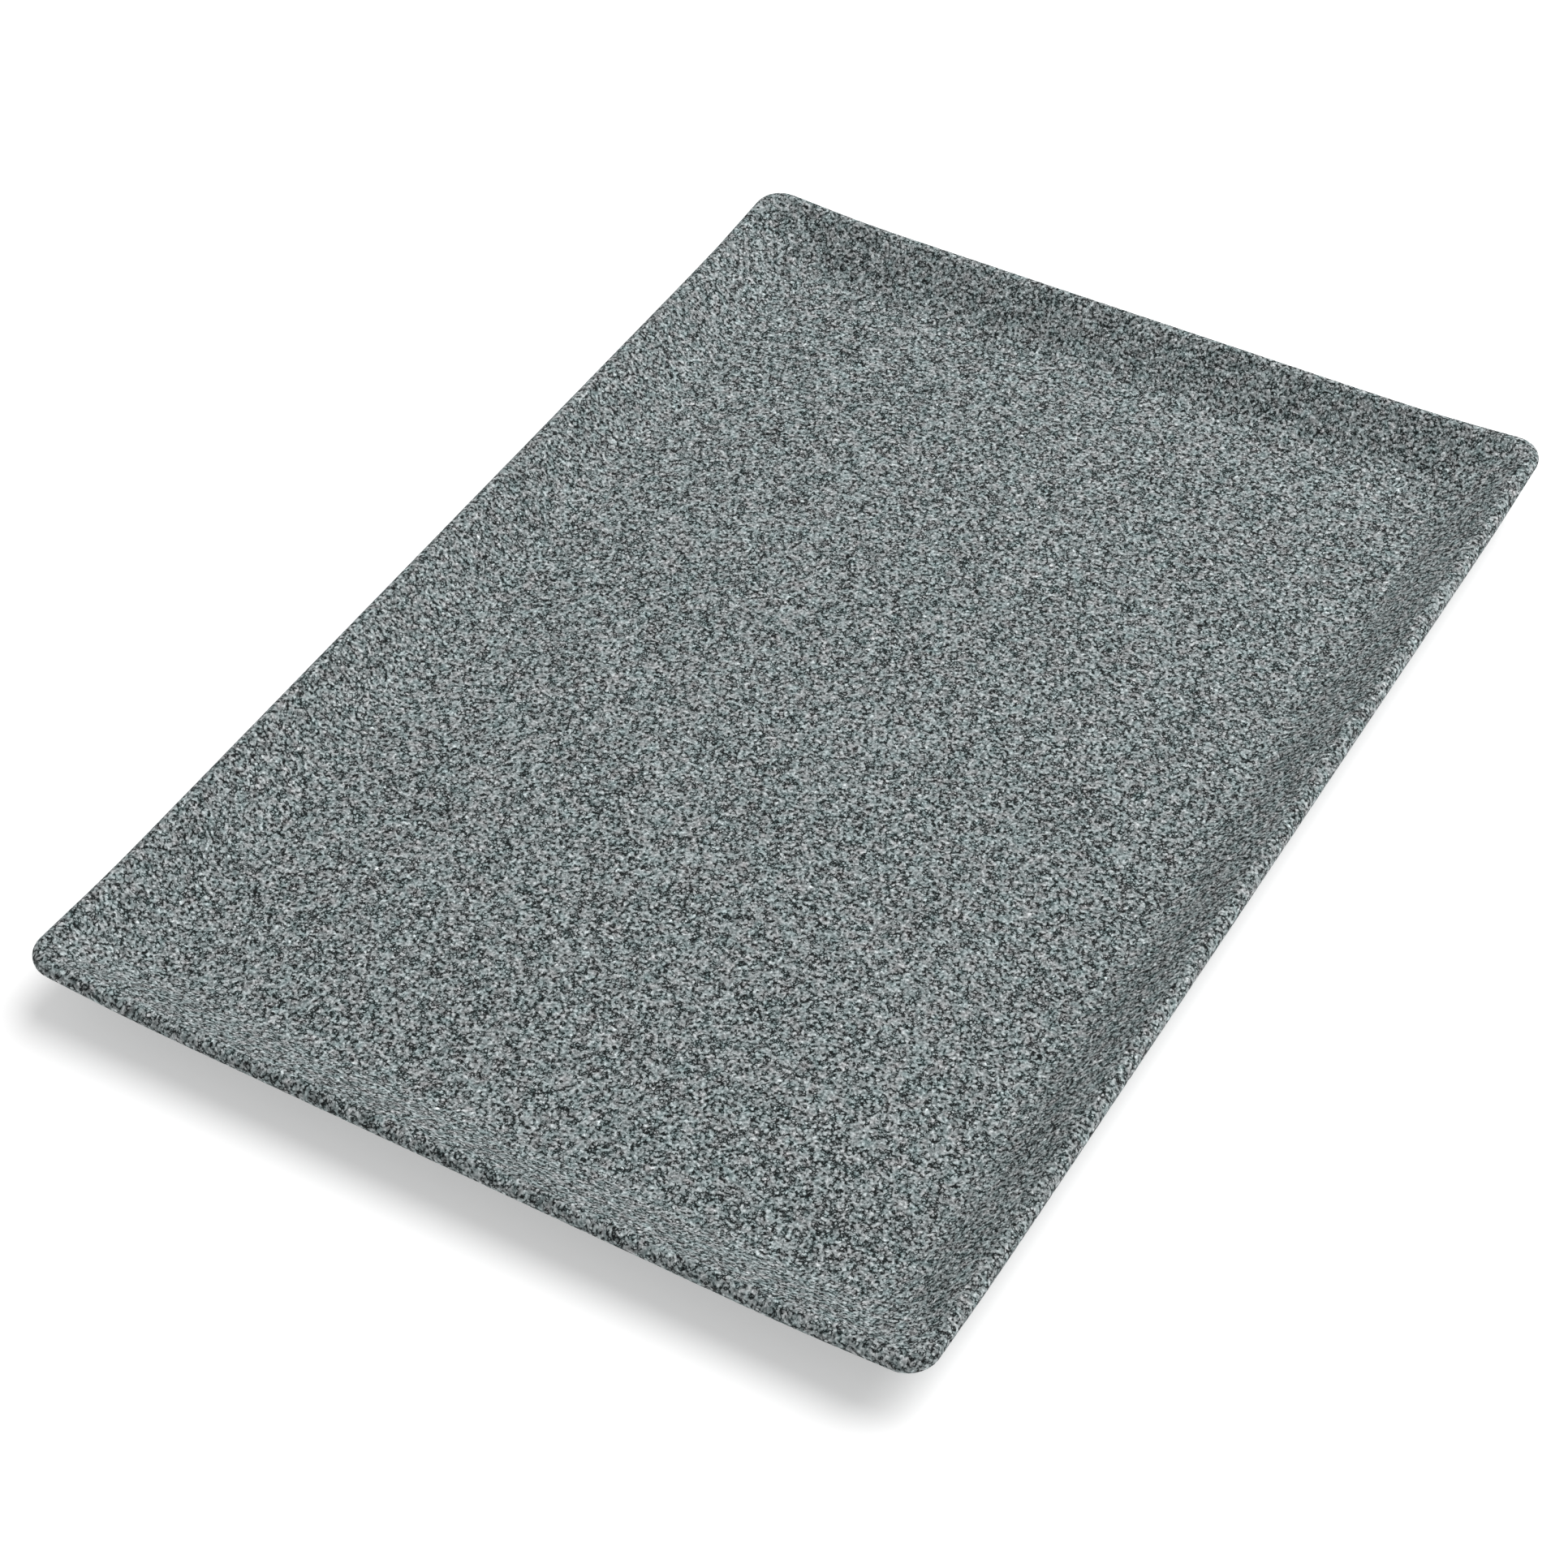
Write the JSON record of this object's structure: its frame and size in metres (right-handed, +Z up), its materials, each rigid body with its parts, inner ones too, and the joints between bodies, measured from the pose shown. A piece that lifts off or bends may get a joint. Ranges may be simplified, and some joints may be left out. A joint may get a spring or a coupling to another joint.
{
  "type": "granite-look tray",
  "caption": "Shallow rectangular tray with a matte granite-look coat, sloping sides, a rounded lip, slightly raised corners and non-slip pads under a flat base.",
  "frame": {"origin": "on the surface the tray stands on, under the middle of the tray", "axes": "+X along the short side, +Y along the long side, +Z up out of the tray"},
  "size_m": [0.25, 0.36, 0.0202],
  "materials": {
    "core_metal": "matte",
    "granite_coat": "matte",
    "underside_coat": "matte",
    "silicone": "matte"
  },
  "bodies": {
    "root": {"tray_core": "core_metal", "granite_top_coat": "granite_coat", "underside_coat": "underside_coat", "foot_front_left": "silicone", "foot_front_right": "silicone", "foot_back_left": "silicone", "foot_back_right": "silicone"}
  },
  "joints": []
}
